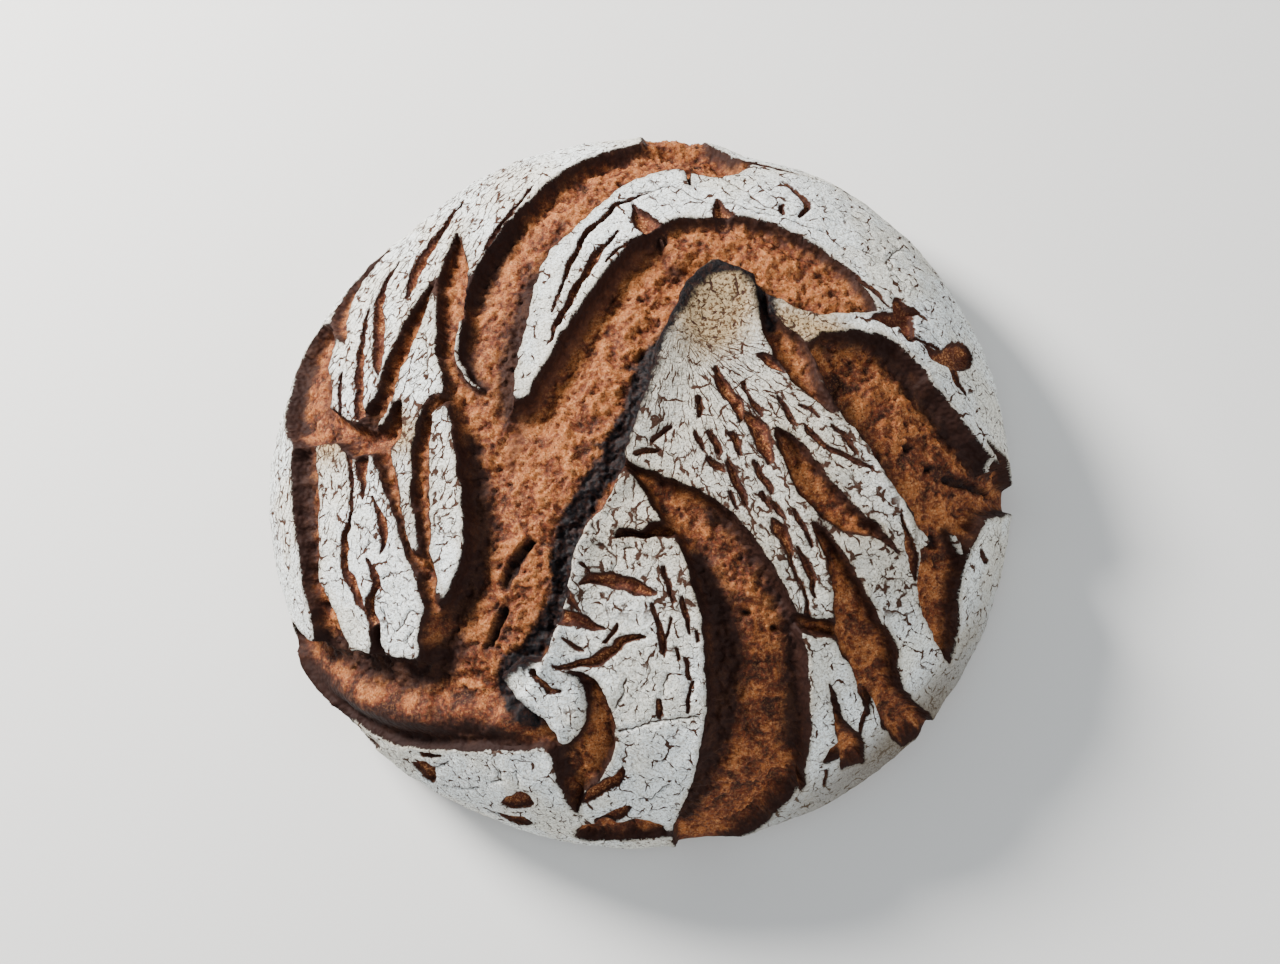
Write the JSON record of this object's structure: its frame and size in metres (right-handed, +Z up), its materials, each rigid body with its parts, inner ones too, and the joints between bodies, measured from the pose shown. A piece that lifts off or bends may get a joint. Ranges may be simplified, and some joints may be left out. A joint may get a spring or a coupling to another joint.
{
  "type": "rustic country loaf",
  "caption": "Round rustic country loaf, uncut, with a floured crust torn open into raised plates around deep, rough, browned bands.",
  "frame": {"origin": "middle of the loaf's outline seen from above, on the surface that it rests on", "axes": "+Z up out of the flat base through the crown; +Y toward the far side, where the pictured tongue of crust curls over; +X to the right of it"},
  "size_m": [0.248, 0.2399, 0.0844],
  "materials": {
    "crust": "matt baked crust: pale floured plates over dark, rough, browned tears with charred edges"
  },
  "bodies": {
    "root": {"loaf": "crust"}
  },
  "joints": []
}
